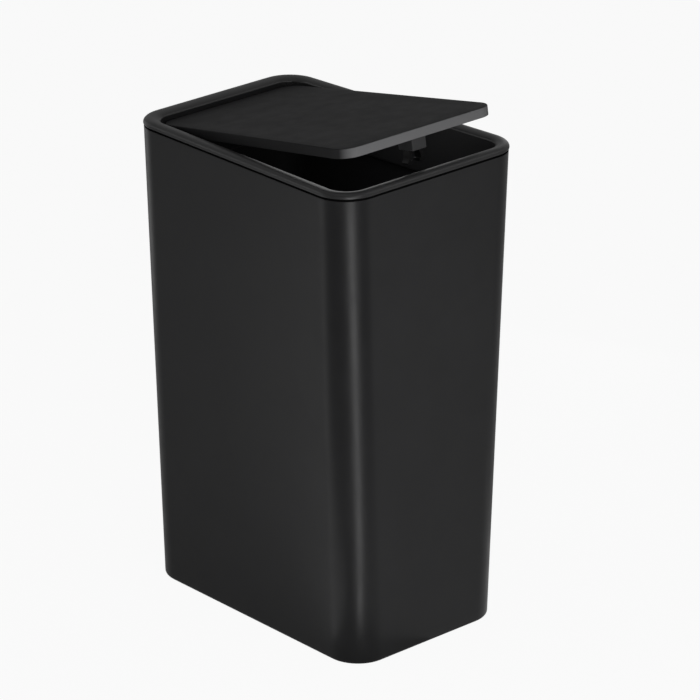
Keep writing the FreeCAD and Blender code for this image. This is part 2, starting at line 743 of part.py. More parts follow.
def print_self_gap(label, point, first, last, wire):
    """The least gap between one turn and the next, measured on points."""
    count = 400
    turn = 2 * math.pi
    near_turn = turn * 0.75
    angles = [first + (last - first) * step / count for step in range(count + 1)]
    gaps = [(point(a) - point(b)).Length - wire for a in angles for b in angles if b - a > near_turn]
    print(f"{label}: least gap to itself {min(gaps):.2f} mm")


def make_lid_spring(label, side):
    """A wound spring round the pin: one leg lies under the ajar lid, the other hangs down against a post."""
    wire, radius, pitch = value("spring_wire"), value("spring_radius"), value("spring_pitch")
    y, z = value(HINGE_Y), value(HINGE_Z)
    tilt = math.radians(value("lid_angle"))
    first, last = 0.0, math.tau * value("spring_turns") + math.pi / 2 - tilt
    rise = pitch / math.tau
    length = rise * (last - first)
    outer_end = value(EAR_X) - (value("spring_bay") - length) / 2

    def point(angle):
        x = outer_end - rise * (angle - first)
        return FreeCAD.Vector(side * x, y + radius * math.cos(angle), z + radius * math.sin(angle))

    def way(angle):
        return FreeCAD.Vector(-side * rise, -radius * math.sin(angle), radius * math.cos(angle)).normalize()

    rim_leg = line(point(first) - way(first) * value("spring_rim_leg"), point(first))
    lid_leg = line(point(last), point(last) + way(last) * value("spring_lid_leg"))
    edges = [rim_leg] + helix_edges(point, way, first, last) + [lid_leg]
    print_self_gap(label, point, first, last, wire)
    return add_wire_piece(label, edges, wire / 2)


def make_latch_spring():
    """A compression spring between the housing's roof and the carriage."""
    wire, radius = value("coil_wire"), value("coil_radius")
    roof = value(f"{FLANGE_TOP} - latch_wall - coil_wire / 2 - coil_end_gap")
    seat = value(f"{LID_FOOT} - slider_top - coil_seat_depth + coil_wire / 2 + coil_end_gap")
    last = math.tau * value("coil_turns")
    rise = (roof - seat) / last
    y = value(JAW_Y)

    def point(angle):
        return FreeCAD.Vector(radius * math.cos(angle), y + radius * math.sin(angle), seat + rise * angle)

    def way(angle):
        return FreeCAD.Vector(-radius * math.sin(angle), radius * math.cos(angle), rise).normalize()

    print_self_gap("latch_spring", point, 0.0, last, wire)
    return carry_on_lid(add_wire_piece("latch_spring", helix_edges(point, way, 0.0, last), wire / 2))


def make_follower():
    """A bent wire: one end turns in the housing's front wall, the other runs in the cam track."""
    bend = value("follower_bend")
    x = -value("follower_x")
    gap_y = value(f"{LATCH_Y} - {CAVITY_HALF_Y} + follower_gap / 2")
    wall_y = value(f"{LATCH_Y} - latch_depth / 2")
    tip_y = value(f"{SLIDER_FRONT} + track_depth * 0.8")
    top = value(f"{LID_FOOT} - follower_pivot")
    low = value(f"{LID_FOOT} - follower_tip")
    forward, down = FreeCAD.Vector(0, 1, 0), FreeCAD.Vector(0, 0, -1)
    upper_knee, lower_knee = FreeCAD.Vector(x, gap_y, top), FreeCAD.Vector(x, gap_y, low)
    half_turn = bend * (1 - math.sqrt(0.5))
    upper = Part.Arc(upper_knee - forward * bend, upper_knee + (down - forward) * half_turn, upper_knee + down * bend).toShape()
    lower = Part.Arc(lower_knee - down * bend, lower_knee + (forward - down) * half_turn, lower_knee + forward * bend).toShape()
    edges = [
        line(FreeCAD.Vector(x, wall_y, top), upper_knee - forward * bend),
        upper,
        line(upper_knee + down * bend, lower_knee - down * bend),
        lower,
        line(lower_knee + forward * bend, FreeCAD.Vector(x, tip_y, low)),
    ]
    return carry_on_lid(add_wire_piece("latch_follower", edges, value("follower_wire") / 2))


def check_and_write():
    """Stop on any failed feature, then write each piece to its own file."""
    doc.recompute()
    failed = [item.Name for item in doc.Objects if {"Invalid", "Error"} & set(item.State)]
    for piece in pieces:
        shape = piece.Shape
        if shape.isNull() or not shape.isValid() or not shape.Solids:
            failed.append(piece.Label)
    if failed:
        raise RuntimeError(f"failed: {failed}")
    os.makedirs("parts", exist_ok=True)
    for piece in pieces:
        piece.Shape.exportStep(os.path.join("parts", f"{piece.Label}.step"))
        print(piece.Label, len(piece.Shape.Solids), "solids", round(piece.Shape.Volume / 1000, 3), "cm3")


make_bin_body()
make_rim_frame()
make_striker()
make_hinge()
make_lid()
make_latch()
make_lid_spring("lid_spring_left", -1)
make_lid_spring("lid_spring_right", 1)
make_latch_spring()
make_follower()
check_and_write()
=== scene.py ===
"""Looks of the bathroom bin: smooth mouldings, latch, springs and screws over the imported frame.

Lengths are in millimetres until a mesh is made, in the frame of the part. What the lid carries is drawn with
the lid shut and then turned up about the hinge. The stage, the lamps and the camera are in metres.
"""

import math

import bmesh
import bpy
from mathutils import Matrix, Vector


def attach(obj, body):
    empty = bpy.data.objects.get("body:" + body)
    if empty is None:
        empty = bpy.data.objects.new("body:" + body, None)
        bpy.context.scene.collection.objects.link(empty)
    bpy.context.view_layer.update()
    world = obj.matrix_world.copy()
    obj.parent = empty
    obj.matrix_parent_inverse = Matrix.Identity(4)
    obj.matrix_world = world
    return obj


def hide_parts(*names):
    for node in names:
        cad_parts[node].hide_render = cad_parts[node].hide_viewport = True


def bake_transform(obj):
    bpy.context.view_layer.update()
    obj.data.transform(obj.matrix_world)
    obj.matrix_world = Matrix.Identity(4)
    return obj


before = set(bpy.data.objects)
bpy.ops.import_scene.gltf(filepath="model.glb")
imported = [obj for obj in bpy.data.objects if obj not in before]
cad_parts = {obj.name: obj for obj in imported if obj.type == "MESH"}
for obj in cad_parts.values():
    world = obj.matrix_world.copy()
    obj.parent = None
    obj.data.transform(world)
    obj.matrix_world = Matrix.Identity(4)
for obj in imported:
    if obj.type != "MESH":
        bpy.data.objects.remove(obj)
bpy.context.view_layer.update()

MM = 0.001
SIDES = ((-1, "left"), (1, "right"))

# Bucket and rim
BIN_HEIGHT = 320.0
FRONT_WIDTH = 156.4
REAR_WIDTH = 138.4
BODY_DEPTH = 206.0
SIDE_DRAFT = 12.5
END_DRAFT = 1.0
BODY_CORNER = 22.0
BODY_WALL = 2.2
RIM_HEIGHT = 4.0
BODY_TOP = BIN_HEIGHT - RIM_HEIGHT
SIDE_LAND = 9.4
FRONT_LAND = 8.0
REAR_LAND = 11.2
OPENING_CORNER = 13.0
COLLAR_WALL = 2.0
COLLAR_FOOT = BODY_TOP - 34.0
SLANT = (FRONT_WIDTH - REAR_WIDTH) / (2 * BODY_DEPTH)
SPREAD = math.sqrt(1 + SLANT ** 2)

# Hinge and lid
HINGE = Vector((0, 67.0, 309.0))
EAR_LENGTH = 6.0
SPRING_ROOM = 8.0
LID_ANGLE = math.radians(9.4)
LID_TOP = 319.0
LID_FOOT = 312.6
LID_SIDE = SIDE_LAND + 3.4
LID_FRONT = FRONT_LAND + 0.9
LID_REAR = REAR_LAND + 2.8
LID_CORNER = 12.0
TURN_UP = Matrix.Translation(HINGE) @ Matrix.Rotation(-LID_ANGLE, 4, "X") @ Matrix.Translation(-HINGE)

# Latch
LATCH_Y = LID_FRONT - BODY_DEPTH / 2 + 9.9
LATCH_ROOF = LID_FOOT + 3.2
JAW_Y = LATCH_Y + 0.4
JAW_HALF = 2.7
PIVOT_Z = LID_FOOT - 6.5

# Fineness of the meshes: steps in a rounded corner, and the straight run held beside a corner of the plan
PLAN_STEPS = 20
PLAN_HOLD = 3.0
BOX_STEPS = 5


# Outlines and profiles

def half_width(y, inset):
    """Half of the plan's width at y, set in square to its slanting side."""
    return FRONT_WIDTH / 2 - (y + BODY_DEPTH / 2) * SLANT - inset * SPREAD


def plan(side, front, rear, radius, z):
    """One ring of the rounded plan, its sides and ends set in from the bucket's top edge."""
    y_front = front - BODY_DEPTH / 2
    y_rear = BODY_DEPTH / 2 - rear
    lean = math.atan(SLANT)
    front_x = half_width(y_front, side) - radius * (SPREAD + SLANT)
    rear_x = half_width(y_rear, side) - radius * (SPREAD - SLANT)
    right = []
    for x, y, first, last in (
        (front_x, y_front + radius, -math.pi / 2, lean),
        (rear_x, y_rear - radius, lean, math.pi / 2),
    ):
        angles = [first + (last - first) * step / PLAN_STEPS for step in range(PLAN_STEPS + 1)]
        arc = [Vector((x + radius * math.cos(a), y + radius * math.sin(a), z)) for a in angles]
        before = Vector((math.sin(first), -math.cos(first), 0)) * PLAN_HOLD
        after = Vector((-math.sin(last), math.cos(last), 0)) * PLAN_HOLD
        right += [arc[0] + before] + arc + [arc[-1] + after]
    left = [Vector((-p.x, p.y, p.z)) for p in reversed(right)]
    return right + left


def even_plan(inset, z):
    return plan(inset, inset, inset, BODY_CORNER - inset, z)


def opening_plan(growth, z):
    return plan(SIDE_LAND - growth, FRONT_LAND - growth, REAR_LAND - growth, OPENING_CORNER + growth, z)


def lid_plan(inset, z):
    return plan(LID_SIDE + inset, LID_FRONT + inset, LID_REAR + inset, LID_CORNER - inset, z)


def drafted_plan(inset, z):
    share = 1 - z / BODY_TOP
    ends = inset + END_DRAFT * share
    return plan(inset + SIDE_DRAFT * share, ends, ends, BODY_CORNER - inset, z)


def rounded(corners, steps):
    """A profile through (a, b, radius) corners with its corners rounded, open at both ends."""
    points = []
    for index, (a, b, radius) in enumerate(corners):
        here = Vector((a, b))
        if not radius or index in (0, len(corners) - 1):
            points.append(here)
            continue
        to_last = (Vector(corners[index - 1][:2]) - here).normalized()
        to_next = (Vector(corners[index + 1][:2]) - here).normalized()
        half = to_last.angle(to_next) / 2
        start = here + to_last * radius / math.tan(half)
        end = here + to_next * radius / math.tan(half)
        centre = here + (to_last + to_next).normalized() * radius / math.sin(half)
        for step in range(steps + 1):
            points.append(centre + (start - centre).slerp(end - centre, step / steps) * radius)
    return points


def rectangle(left, right, foot, top):
    return [(left, foot), (right, foot), (right, top), (left, top)]


def circle_points(x, y, radius, count):
    angles = [math.tau * i / count for i in range(count)]
    return [(x + radius * math.cos(a), y + radius * math.sin(a)) for a in angles]


def box_ring(half_x, half_y, radius, centre_y, z):
    """A ring round a rectangle with rounded corners."""
    ring = []
    for quarter, (sx, sy) in enumerate(((1, 1), (-1, 1), (-1, -1), (1, -1))):
        for step in range(BOX_STEPS + 1):
            angle = math.pi / 2 * (quarter + step / BOX_STEPS)
            x = sx * (half_x - radius) + radius * math.cos(angle)
            y = sy * (half_y - radius) + radius * math.sin(angle)
            ring.append(Vector((x, centre_y + y, z)))
    return ring


def tube_rings(path, radius, sides):
    """Rings of a round wire along a path, carried on without twist, with its ends eased in."""
    end_share, end_reach = 0.75, 0.2
    angles = [math.tau * i / sides for i in range(sides)]
    ways = [(b - a).normalized() for a, b in zip(path, path[1:])]
    ways = [ways[0]] + [(a + b).normalized() for a, b in zip(ways, ways[1:])] + [ways[-1]]
    across = ways[0].orthogonal().normalized()
    rings = []
    for point, way in zip(path, ways):
        across = (across - way * across.dot(way)).normalized()
        up = way.cross(across)
        rings.append([point + (across * math.cos(a) + up * math.sin(a)) * radius for a in angles])
    ends = []
    for point, way, ring in ((path[0], -ways[0], rings[0]), (path[-1], ways[-1], rings[-1])):
        ends.append([point + (p - point) * end_share + way * radius * end_reach for p in ring])
    return [ends[0]] + rings + [ends[1]]


def facing(u, v, w):
    """An outline in X and Z, pushed along Y."""
    return Vector((u, w, v))


def sideways(side):
    """An outline in Y and Z, pushed out to one side."""
    return lambda u, v, w: Vector((side * w, u, v))


# Meshes

def put_in_scene(name, data):
    thing = bpy.data.objects.new(name, data)
    bpy.context.scene.collection.objects.link(thing)
    return thing


def new_mesh(name, vertices, faces, material, body, turn=None, sharp=40, slot=None):
    """A smooth-shaded piece from millimetre points that rides on a body, if one is named."""
    mesh = bpy.data.meshes.new(name)
    place = Matrix.Scale(MM, 4) @ (turn or Matrix.Identity(4))
    mesh.from_pydata([place @ Vector(v) for v in vertices], [], faces)
    work = bmesh.new()
    work.from_mesh(mesh)
    bmesh.ops.remove_doubles(work, verts=work.verts, dist=1e-7)
    bmesh.ops.recalc_face_normals(work, faces=work.faces)
    work.to_mesh(mesh)
    work.free()
    mesh.shade_smooth()
    mesh.set_sharp_from_angle(angle=math.radians(sharp))
    mesh.materials.append(material)
    piece = put_in_scene(name, mesh)
    if body:
        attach(piece, body)
    return piece


def lofted(name, rings, material, body, closed=False, **kw):
    """A skin over rings of equal count, capped at both ends unless it closes on itself."""
    count = len(rings[0])
    vertices = [p for ring in rings for p in ring]
    faces = []
    for row in range(len(rings) if closed else len(rings) - 1):
        low, high = row * count, (row + 1) % len(rings) * count
        for i in range(count):
            j = (i + 1) % count
            faces.append((low + i, low + j, high + j, high + i))
    if not closed:
        faces.append(tuple(reversed(range(count))))
        faces.append(tuple(range(len(vertices) - count, len(vertices))))
    return new_mesh(name, vertices, faces, material, body, **kw)


def prism(name, outline, low, high, place, material, body, bevel, **kw):
    """An outline pushed from low to high, with rounded edges. place(u, v, w) gives the point in space."""
    work = bmesh.new()
    base = [work.verts.new((u, v, low)) for u, v in outline]
    top = [work.verts.new((u, v, high)) for u, v in outline]
    work.faces.new(list(reversed(base)))
    work.faces.new(top)
    for i in range(len(outline)):
        j = (i + 1) % len(outline)
        work.faces.new((base[i], base[j], top[j], top[i]))
    sharp_edges = [e for e in work.edges if e.calc_face_angle(0) > math.radians(20)]
    bmesh.ops.bevel(
        work, geom=sharp_edges, offset=bevel, segments=3, profile=0.5, affect="EDGES", clamp_overlap=True)
    work.verts.index_update()
    vertices = [place(*v.co) for v in work.verts]
    faces = [tuple(v.index for v in f.verts) for f in work.faces]
    work.free()
    return new_mesh(name, vertices, faces, material, body, **kw)


def repaint(piece, material, test):
    """Another finish on the faces whose middle and normal, in the part's frame, pass a test."""
    piece.data.materials.append(material)
    for face in piece.data.polygons:
        if test(face.center / MM, face.normal):
            face.material_index = len(piece.data.materials) - 1


def faces_in(middle, normal):
    return middle.x * normal.x + middle.y * normal.y < 0 and abs(normal.z) < 0.6


# Materials

def nodes_of(name):
    material = bpy.data.materials.new(name)
    material.use_nodes = True
    tree = material.node_tree
    return material, tree, tree.nodes["Principled BSDF"]


def add(tree, kind, **inputs):
    """A node with constants on its inputs, named with _ in place of a space."""
    node = tree.nodes.new(kind)
    for key, value in inputs.items():
        node.inputs[key.replace("_", " ")].default_value = value
    return node


def noise(tree, place, scale, detail):
    node = add(tree, "ShaderNodeTexNoise", Scale=scale, Detail=detail)
    tree.links.new(place.outputs["Object"], node.inputs["Vector"])
    return node.outputs["Fac"]


def spread(tree, source, low, high, from_low=0.3, from_high=0.7):
    """Map a value, as a rule a noise, to a range."""
    node = add(tree, "ShaderNodeMapRange", From_Min=from_low, From_Max=from_high, To_Min=low, To_Max=high)
    tree.links.new(source, node.inputs["Value"])
    return node.outputs["Result"]


def shade(colour, level):
    return tuple(c * level for c in colour)


def mix_colours(tree, low, high, factor, target):
    """Feed a colour between two to a socket. low is a colour or the socket that gives it."""
    node = tree.nodes.new("ShaderNodeMix")
    node.data_type = "RGBA"
    if isinstance(low, bpy.types.NodeSocket):
        tree.links.new(low, node.inputs["A"])
    else:
        node.inputs["A"].default_value = (*low, 1)
    node.inputs["B"].default_value = (*high, 1)
    tree.links.new(factor, node.inputs["Factor"])
    tree.links.new(node.outputs["Result"], target)


def roughen(tree, shader, height, strength, distance):
    bump = add(tree, "ShaderNodeBump", Strength=strength, Distance=distance)
    tree.links.new(height, bump.inputs["Height"])
    tree.links.new(bump.outputs["Normal"], shader.inputs["Normal"])


def plastic(name, colour, rough, grain, specular, sheen=0.0):
    """Moulded plastic: faint mottling, uneven gloss and a fine spark-eroded grain."""
    material, tree, shader = nodes_of(name)
    place = add(tree, "ShaderNodeTexCoord")
    cloud = spread(tree, noise(tree, place, 28, 4), 0, 1)
    mix_colours(tree, shade(colour, 0.90), shade(colour, 1.10), cloud, shader.inputs["Base Color"])
    patch = noise(tree, place, 90, 3)
    tree.links.new(spread(tree, patch, rough - 0.03, rough + 0.03), shader.inputs["Roughness"])
    roughen(tree, shader, noise(tree, place, 2600, 2), grain, 0.00004)
    shader.inputs["Specular IOR Level"].default_value = specular
    shader.inputs["Sheen Weight"].default_value = sheen
    shader.inputs["Sheen Roughness"].default_value = 0.35
    return material


def paint_front_highlight(material, colour):
    """Painted highlight: a lighter tint where a piece faces the front, fading out round its corners, standing in
    for the light on the lid's front edge.
    """
    tree = material.node_tree
    base = tree.nodes["Principled BSDF"].inputs["Base Color"]
    place = add(tree, "ShaderNodeTexCoord")
    split = add(tree, "ShaderNodeSeparateXYZ")
    tree.links.new(place.outputs["Normal"], split.inputs["Vector"])
    front = spread(tree, split.outputs["Y"], 1, 0, -0.97, -0.40)
    mix_colours(tree, base.links[0].from_socket, colour, front, base)
    return material


def steel(name, colour, rough):
    """Bright wire and screws, with fine marks."""
    material, tree, shader = nodes_of(name)
    marks = noise(tree, add(tree, "ShaderNodeTexCoord"), 1800, 3)
    mix_colours(tree, shade(colour, 0.8), colour, spread(tree, marks, 0, 1), shader.inputs["Base Color"])
    tree.links.new(spread(tree, marks, rough - 0.08, rough + 0.08), shader.inputs["Roughness"])
    roughen(tree, shader, marks, 0.15, 0.00003)
    shader.inputs["Metallic"].default_value = 1.0
    return material


BODY = plastic("body_plastic", (0.0080, 0.0080, 0.0085), rough=0.36, grain=0.12, specular=0.20)
RIM = plastic("rim_plastic", (0.0080, 0.0080, 0.0084), rough=0.40, grain=0.08, specular=0.40, sheen=0.03)
# The lid's plastic carries a painted highlight on its front face.
LID = paint_front_highlight(
    plastic("lid_plastic", (0.0200, 0.0200, 0.0206), rough=0.50, grain=0.10, specular=0.035),
    (0.155, 0.155, 0.158))
# The inside finish is painted light: a lighter copy of the black plastic for the faces inside the bin, standing in
# for the light that reaches in.
INSIDE_PAINTED_LIGHT = plastic("inside_painted_light", (0.014, 0.014, 0.0145), rough=0.50, grain=0.10, specular=0.15)
# The seam finish is painted shade: a dark matte copy of the plastic for the groove under the rim's lip, where the
# gap's shadow falls.
SEAM_PAINTED_SHADE = plastic("seam_painted_shade", (0.0045, 0.0045, 0.0046), rough=0.80, grain=0.10, specular=0.02)
INNER = plastic("liner_plastic", (0.010, 0.010, 0.011), rough=0.50, grain=0.10, specular=0.2)
LATCH = plastic("latch_plastic", (0.003, 0.003, 0.0031), rough=0.45, grain=0.05, specular=0.08)
BLOCK = plastic("block_plastic", (0.032, 0.032, 0.033), rough=0.42, grain=0.05, specular=0.2)
WIRE = steel("spring_wire", (0.62, 0.61, 0.59), rough=0.30)
SCREW = steel("screw_steel", (0.58, 0.57, 0.55), rough=0.34)


# Bucket

def make_bucket():
    wall, floor_top = BODY_WALL, 4.0
    foot_ring, recess = 9.0, 1.6
    seat_z, seat_inset = BODY_TOP - 0.9, 1.1
    foot = [(4.5, 0, 0), (0, 0, 2.5), (0, 40, 0)]
    top = [
        (0, BODY_TOP - 1.6, 0), (0, seat_z, 0.2), (seat_inset, seat_z, 0), (seat_inset, BODY_TOP, 0),
        (wall, BODY_TOP, 0.3), (wall, 300, 0),
    ]
    bottom = [(wall, 20, 0), (wall, floor_top, 5), (20, floor_top, 0)]
    profile = [(foot_ring + 8, recess), (foot_ring + 0.6, recess), (foot_ring, recess)]
    profile += [(foot_ring, 0.4), (foot_ring - 0.4, 0)]
    profile += rounded(foot, 8)[:-1]
    profile += [(0, z) for z in (8, 60, 120, 180, 240, 300, BODY_TOP - 2)]
    profile += rounded(top, 5)[1:]
    profile += [(wall, z) for z in (240, 160, 80, 20)]
    profile += rounded(bottom, 8)[1:-1]
    profile += [(wall + 8, floor_top), (18, floor_top)]
    rings = [drafted_plan(inset, z) for inset, z in profile]
    bucket = lofted("bucket", rings, BODY, "bin", slot="body_plastic")
    # Painted light: the bucket's inside faces take the lighter inside finish.
    repaint(bucket, INSIDE_PAINTED_LIGHT, lambda middle, normal: middle.z > floor_top + 1 and faces_in(middle, normal))
    # Painted shade: the shelf and groove at the bucket's top take the dark seam finish.
    repaint(bucket, SEAM_PAINTED_SHADE, lambda middle, normal: middle.z > seat_z - 0.05 and not faces_in(middle, normal))
    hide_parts("bin_body")


# Rim

def make_rim():
    """The rim and its collar, with a top that is rounded from the outer lip over a crest to the opening."""
    lip_inset, overhang, crest = 1.2, 0.4, 4.0
    lip_foot, lip_top, wall_top = BODY_TOP + 0.7, BODY_TOP + 1.2, BIN_HEIGHT - 2.5
    outer_steps, inner_steps = 14, 16
    lip = [
        (lip_inset, BODY_TOP, 0), (lip_inset, lip_foot, 0), (-overhang, lip_foot, 0.2), (-overhang, lip_top, 0),
    ]
    collar = [
        (0, 290, 0), (0, COLLAR_FOOT, 0.7), (COLLAR_WALL, COLLAR_FOOT, 0.7), (COLLAR_WALL, BODY_TOP - 0.3, 0),
    ]
    locator = ((4.4, 0.3), (4.4, 5.7), (4.1, 6), (3.1, 6), (2.8, 5.7), (2.8, 0))
    rings = [even_plan(inset, z) for inset, z in rounded(lip, 4)]
    for step in range(1, outer_steps + 1):
        angle = math.pi / 2 * step / outer_steps
        inset = crest - (crest + overhang) * math.cos(angle)
        rings.append(even_plan(inset, lip_top + (BIN_HEIGHT - lip_top) * math.sin(angle)))
    for step in range(1, inner_steps + 1):
        angle = math.pi / 2 * step / inner_steps
        share = math.sin(angle)
        insets = [crest + (land - crest) * share for land in (SIDE_LAND, FRONT_LAND, REAR_LAND)]
        corner = (BODY_CORNER - crest) * (1 - share) + OPENING_CORNER * share
        rings.append(plan(*insets, corner, wall_top + (BIN_HEIGHT - wall_top) * math.cos(angle)))
    rings += [opening_plan(0, z) for z in (312, 300, COLLAR_FOOT + 4)]
    rings += [opening_plan(growth, z) for growth, z in rounded(collar, 4)[1:]]
    rings += [even_plan(inset, BODY_TOP - drop) for inset, drop in locator]
    rim = lofted("rim", rings, RIM, "rim", closed=True, slot="rim_plastic")
    seam_top = lip_foot + 0.05
    # Painted light: the collar's inside faces take the lighter inside finish.
    repaint(rim, INSIDE_PAINTED_LIGHT, lambda middle, normal: middle.z < BODY_TOP + 1 and faces_in(middle, normal))
    # Painted shade: the rim's faces in the gap under its lip take the dark seam finish.
    repaint(rim, SEAM_PAINTED_SHADE, lambda middle, normal: BODY_TOP < middle.z < seam_top and not faces_in(middle, normal))
    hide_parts("rim_frame")


def make_hinge_ears():
    """The rim's ears for the hinge pin, their webs, and the posts that the lid springs lean on."""
    wall_x = half_width(HINGE.y, SIDE_LAND)
    ear_x, sunk_x = wall_x - EAR_LENGTH, wall_x + 1
    ear_radius = 3.2
    post_y, post_z = HINGE.y + 3.1, HINGE.z - 11
    ear = circle_points(HINGE.y, HINGE.z, ear_radius, 40)
    web = rectangle(HINGE.y - ear_radius, HINGE.y + 0.8, HINGE.z - 12, HINGE.z)
    post = rectangle(post_y, post_y + 1.5, post_z, post_z + 4)
    shapes = (("ear", ear, ear_x), ("ear_web", web, ear_x), ("spring_post", post, ear_x - 7))
    for side, word in SIDES:
        for name, outline, inner_x in shapes:
            prism(f"{name}_{word}", outline, inner_x, sunk_x, sideways(side), RIM, "rim", bevel=0.35,
                  slot="rim_plastic")


# Lid

def make_lid():
    edge_wall, plate_foot = 1.8, LID_TOP - 2
    edge = [
        (edge_wall, plate_foot, 0), (edge_wall, LID_FOOT, 0.3), (0, LID_FOOT, 0.35), (0, LID_TOP, 0.7),
        (6, LID_TOP, 0),
    ]
    rings = [lid_plan(5, plate_foot)] + [lid_plan(inset, z) for inset, z in rounded(edge, 6)]
    lid = lofted("lid", rings, LID, "lid", turn=TURN_UP, slot="lid_plastic")
    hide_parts("lid_panel")


# Latch

def make_latch():
    mouth = LID_FOOT - 8.2
    shell = (
        (5.7, 6.2, 0.5, LATCH_ROOF), (6.0, 6.5, 0.7, LATCH_ROOF - 0.3), (6.0, 6.5, 0.7, mouth + 0.4),
        (5.9, 6.4, 0.7, mouth + 0.1), (5.7, 6.2, 0.6, mouth), (5.1, 5.6, 0.5, mouth),
        (4.9, 5.4, 0.4, mouth + 0.1), (4.8, 5.3, 0.3, mouth + 0.4), (4.8, 5.3, 0.3, LATCH_ROOF - 1.2),
    )
    rings = [box_ring(x, y, radius, LATCH_Y, z) for x, y, radius, z in shell]
    housing = lofted("latch_block", rings, BLOCK, "lid", turn=TURN_UP, slot="latch_plastic")
    bevel, foot = 0.25, LID_FOOT + 1.6
    plate = ((bevel, foot), (0, foot + bevel), (0, LATCH_ROOF - bevel), (bevel, LATCH_ROOF))
    rings = [box_ring(13 - inset, 6.5 - inset, 1.2, LATCH_Y, z) for inset, z in plate]
    lofted("latch_flange", rings, LATCH, "lid", turn=TURN_UP, slot="latch_plastic")
    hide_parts("latch_housing")


def make_claws():
    # Half-widths and drops below the pivot
    profile = (
        (1.3, 1.2), (4.0, 5.0), (4.0, 8.1), (2.75, 8.4), (2.75, 9.5), (3.65, 10.4), (6.6, 10.4), (7.5, 9.5),
        (6.0, 7.2), (6.0, 6.0), (4.4, 1.7), (3.4, -0.9),
    )
    pivot_x, barrel_radius = 2.2, 1.5
    near, far = JAW_Y - JAW_HALF, JAW_Y + JAW_HALF
    for side, word in SIDES:
        outline = [(side * x, PIVOT_Z - drop) for x, drop in profile]
        claw = prism(f"claw_{word}", outline, near, far, facing, LATCH, f"jaw_{word}", bevel=0.3,
                     turn=TURN_UP, slot="latch_plastic")
        barrel = circle_points(side * pivot_x, PIVOT_Z, barrel_radius, 28)
        prism(f"claw_barrel_{word}", barrel, near, far, facing, LATCH, f"jaw_{word}", bevel=0.2,
              turn=TURN_UP, slot="latch_plastic")
        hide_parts(f"jaw_{word}")


def make_striker():
    """The T-shaped catch on the rim. It gives the height and the depth of its screws' seats."""
    wall_y = FRONT_LAND - BODY_DEPTH / 2
    plate_y = wall_y + 2
    tip = JAW_Y + 3.0
    head_top = LID_FOOT - 8.6
    arm_top = head_top - 5.4
    arm_foot = arm_top - 2.4
    middle = arm_top - 1.2
    plate = rectangle(-9.5, 9.5, middle - 6, middle + 6)
    striker = prism("striker_plate", plate, wall_y, plate_y, facing, LATCH, "rim", bevel=0.5, slot="latch_plastic")
    arm = rectangle(-2.2, 2.2, arm_foot, arm_top)
    prism("striker_arm", arm, plate_y - 1, tip, facing, LATCH, "rim", bevel=0.3, slot="latch_plastic")
    right = [(1.0, middle), (1.0, head_top - 2.2), (2.3, head_top - 2.2), (2.3, head_top - 1.4), (1.2, head_top)]
    head = right + [(-x, z) for x, z in reversed(right)]
    prism("striker_head", head, tip - 6, tip, facing, LATCH, "rim", bevel=0.2, slot="latch_plastic")
    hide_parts("striker")
    return middle, plate_y


# Springs and wires

def make_wire(name, path, radius, sides, node, ends):
    """A smooth wire in place of a wound solid. ends names its one body, which the wire rides on, or two bodies and
    where each ends; then these are not used and the wire stays where it is drawn.
    """
    rings = tube_rings(path, radius, sides)
    wire = lofted(name, rings, WIRE, None, sharp=60, slot="bright_steel")
    if len(ends) == 1:
        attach(wire, ends[0])
    else:
        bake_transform(wire)
    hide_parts(node)


def make_lid_springs():
    """The two torsion springs round the hinge pin, each with a leg on the rim and a leg on the lid."""
    radius, pitch, steps = 2.5, 1.5, 160
    rim_reach, rim_steps = 11, 8
    lid_reach, lid_steps = 18, 10
    turns = 3.25 - LID_ANGLE / math.tau
    inner_x = half_width(HINGE.y, SIDE_LAND) - EAR_LENGTH - SPRING_ROOM
    outer_x = inner_x + SPRING_ROOM - (SPRING_ROOM - pitch * turns) / 2
    for side, word in SIDES:
        coil = []
        for step in range(steps + 1):
            angle = math.tau * turns * step / steps
            x = outer_x - pitch * angle / math.tau
            y, z = HINGE.y + radius * math.cos(angle), HINGE.z + radius * math.sin(angle)
            coil.append(Vector((side * x, y, z)))
        rim_way = (coil[1] - coil[0]).normalized()
        lid_way = (coil[-1] - coil[-2]).normalized()
        rim_leg = [coil[0] - rim_way * rim_reach * (1 - step / rim_steps) for step in range(rim_steps)]
        lid_leg = [coil[-1] + lid_way * lid_reach * (step + 1) / lid_steps for step in range(lid_steps)]
        ends = ("rim", "lid", coil[0], (coil[-1].x, coil[0].y, coil[0].z))
        make_wire(f"torsion_spring_{word}", rim_leg + coil + lid_leg, 0.5, 16, f"lid_spring_{word}", ends)


def make_latch_spring():
    """The coil spring between the carriage and the latch's roof."""
    radius, turns, steps = 2.3, 3, 144
    low, high = LID_FOOT - 2.9, LATCH_ROOF - 1.5
    coil = []
    for step in range(steps + 1):
        share = step / steps
        angle = math.tau * turns * share
        x, y = radius * math.cos(angle), JAW_Y + radius * math.sin(angle)
        coil.append(TURN_UP @ Vector((x, y, low + (high - low) * share)))
    ends = ("slider", "lid", TURN_UP @ Vector((0, JAW_Y, low)), TURN_UP @ Vector((0, JAW_Y, high)))
    make_wire("coil_spring", coil, 0.2, 10, "latch_spring", ends)


def make_cam_wire():
    """The bent wire that follows the carriage's cam track."""
    x, bend = -1.5, 0.6
    front, gap, tip = LATCH_Y - 6.5, LATCH_Y - 4.8, LATCH_Y - 3.66
    top, foot = LID_FOOT - 0.2, LID_FOOT - 3.7
    bent = rounded([(front, top, 0), (gap, top, bend), (gap, foot, bend), (tip, foot, 0)], 8)
    path = [TURN_UP @ Vector((x, y, z)) for y, z in bent]
    make_wire("cam_wire", path, 0.35, 12, "latch_follower", ("lid",))


# Screws

